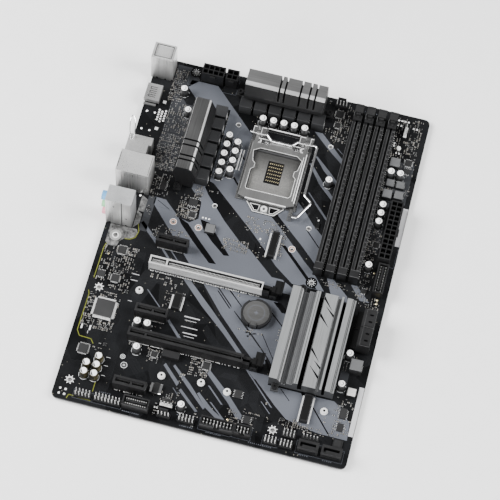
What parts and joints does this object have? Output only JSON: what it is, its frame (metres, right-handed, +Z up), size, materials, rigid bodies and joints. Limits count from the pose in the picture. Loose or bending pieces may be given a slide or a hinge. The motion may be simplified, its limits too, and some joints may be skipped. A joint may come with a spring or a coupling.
{
  "type": "motherboard",
  "caption": "Computer motherboard with a hinged processor socket, memory and card slots, finned heatsinks, power and data sockets and rear connectors.",
  "frame": {"origin": "under the middle of the whole part's box, at the level of the tips of the longest solder leads", "axes": "+Z up from the component side, +Y along the board's long side towards the processor end, +X away from the rear connectors"},
  "size_m": [0.2282, 0.305, 0.0396],
  "materials": {
    "board_mask": "glossy black solder mask",
    "black_plastic": "moulded matte black",
    "socket_plastic": "moulded matte dark grey",
    "latch_grey": "moulded matte mid grey",
    "contact_gold": "thin gold plate",
    "socket_steel": "nickel-plated stamped steel",
    "lever_steel": "bright plated wire",
    "port_steel": "tinned folded steel",
    "shield_steel": "polished steel jacket",
    "sink_black": "satin black with brushed bare crowns",
    "hub_black": "brushed grey and satin black",
    "screw_steel": "blackened steel",
    "pad_grey": "soft thermal pad",
    "chip_black": "moulded epoxy",
    "choke_grey": "pressed ferrite, satin",
    "can_silver": "bare aluminium can",
    "can_gold": "gold-coloured can",
    "cell_steel": "nickel-plated steel",
    "jack_plastic": "moulded black",
    "barrel_colours": "moulded, one colour for each level",
    "solder": "solder",
    "standoff_brass": "nickel-plated brass"
  },
  "bodies": {
    "board": {"pcb": "board_mask", "socket_body": "socket_plastic", "socket_contacts": "contact_gold", "socket_frame": "socket_steel", "socket_screws": "socket_steel", "socket_backplate": "screw_steel", "dimm_slot_1": "black_plastic", "dimm_slot_2": "black_plastic", "dimm_slot_3": "black_plastic", "dimm_slot_4": "black_plastic", "pcie_x16_slot_1": "black_plastic", "pcie_x16_shield": "shield_steel", "pcie_x16_slot_2": "black_plastic", "pcie_x1_slot_1": "black_plastic", "pcie_x1_slot_2": "black_plastic", "pcie_x1_slot_3": "black_plastic", "m2_socket_1": "black_plastic", "m2_socket_2": "black_plastic", "wifi_socket": "black_plastic", "m2_standoffs": "standoff_brass", "atx_power_socket": "black_plastic", "cpu_power_sockets": "black_plastic", "power_pins": "contact_gold", "usb3_headers": "black_plastic", "sata_port_block": "black_plastic", "sata_ports_edge": "black_plastic", "pin_header_bases": "black_plastic", "header_pins": "contact_gold", "fan_headers": "black_plastic", "box_headers": "black_plastic", "vrm_heatsink_left": "sink_black", "vrm_heatsink_top": "sink_black", "pch_heatsink": "hub_black", "heatsink_screws": "screw_steel", "thermal_pads": "pad_grey", "power_stages": "chip_black", "pch_chip": "chip_black", "chokes": "choke_grey", "polymer_capacitors": "can_silver", "audio_capacitors": "can_gold", "super_io_chip": "chip_black", "small_chips": "chip_black", "battery_holder": "black_plastic", "battery": "cell_steel", "ps2_usb_stack": "port_steel", "video_port": "port_steel", "usb3_port": "port_steel", "lan_usb_stack": "port_steel", "audio_jack_block": "jack_plastic", "jack_barrels": "barrel_colours", "solder_tails": "solder"},
    "lever": {"load_lever": "lever_steel"},
    "plate": {"load_plate": "socket_steel"},
    "clip": {"battery_clip": "cell_steel"},
    "memory_latch_1": {"dimm_latch_1": "latch_grey"},
    "memory_latch_2": {"dimm_latch_2": "latch_grey"},
    "memory_latch_3": {"dimm_latch_3": "latch_grey"},
    "memory_latch_4": {"dimm_latch_4": "latch_grey"},
    "card_latch_1": {"pcie_latch_1": "black_plastic"},
    "card_latch_2": {"pcie_latch_2": "black_plastic"}
  },
  "joints": [
    {"name": "lever_turn", "type": "hinge", "parent": "board", "child": "lever", "pos_m": [0.005, 0.1021, 0.0098], "axis": [-1, 0, 0], "range_deg": [0, 130]},
    {"name": "plate_turn", "type": "hinge", "parent": "board", "child": "plate", "pos_m": [0.005, 0.1021, 0.0098], "axis": [-1, 0, 0], "range_deg": [0, 104]},
    {"name": "memory_latch_1_turn", "type": "hinge", "parent": "board", "child": "memory_latch_1", "pos_m": [0.0577, 0.1377, 0.0066], "axis": [-1, 0, 0], "range_deg": [0, 25]},
    {"name": "memory_latch_2_turn", "type": "hinge", "parent": "board", "child": "memory_latch_2", "pos_m": [0.06695, 0.1377, 0.0066], "axis": [-1, 0, 0], "range_deg": [0, 25]},
    {"name": "memory_latch_3_turn", "type": "hinge", "parent": "board", "child": "memory_latch_3", "pos_m": [0.0762, 0.1377, 0.0066], "axis": [-1, 0, 0], "range_deg": [0, 25]},
    {"name": "memory_latch_4_turn", "type": "hinge", "parent": "board", "child": "memory_latch_4", "pos_m": [0.08545, 0.1377, 0.0066], "axis": [-1, 0, 0], "range_deg": [0, 25]},
    {"name": "card_latch_1_turn", "type": "hinge", "parent": "board", "child": "card_latch_1", "pos_m": [0.0295, -0.0295, 0.0062], "axis": [0, 1, 0], "range_deg": [0, 17]},
    {"name": "card_latch_2_turn", "type": "hinge", "parent": "board", "child": "card_latch_2", "pos_m": [0.0295, -0.09046, 0.0062], "axis": [0, 1, 0], "range_deg": [0, 17]},
    {"name": "clip_flex", "type": "hinge", "parent": "board", "child": "clip", "pos_m": [0.021, -0.0598, 0.0046], "axis": [1, 0, 0], "range_deg": [0, 12], "stiffness_Nm_per_rad": 0.02}
  ],
  "couplings": [
    {"joint": "plate_turn", "follows": "lever_turn", "ratio": 0.8}
  ]
}
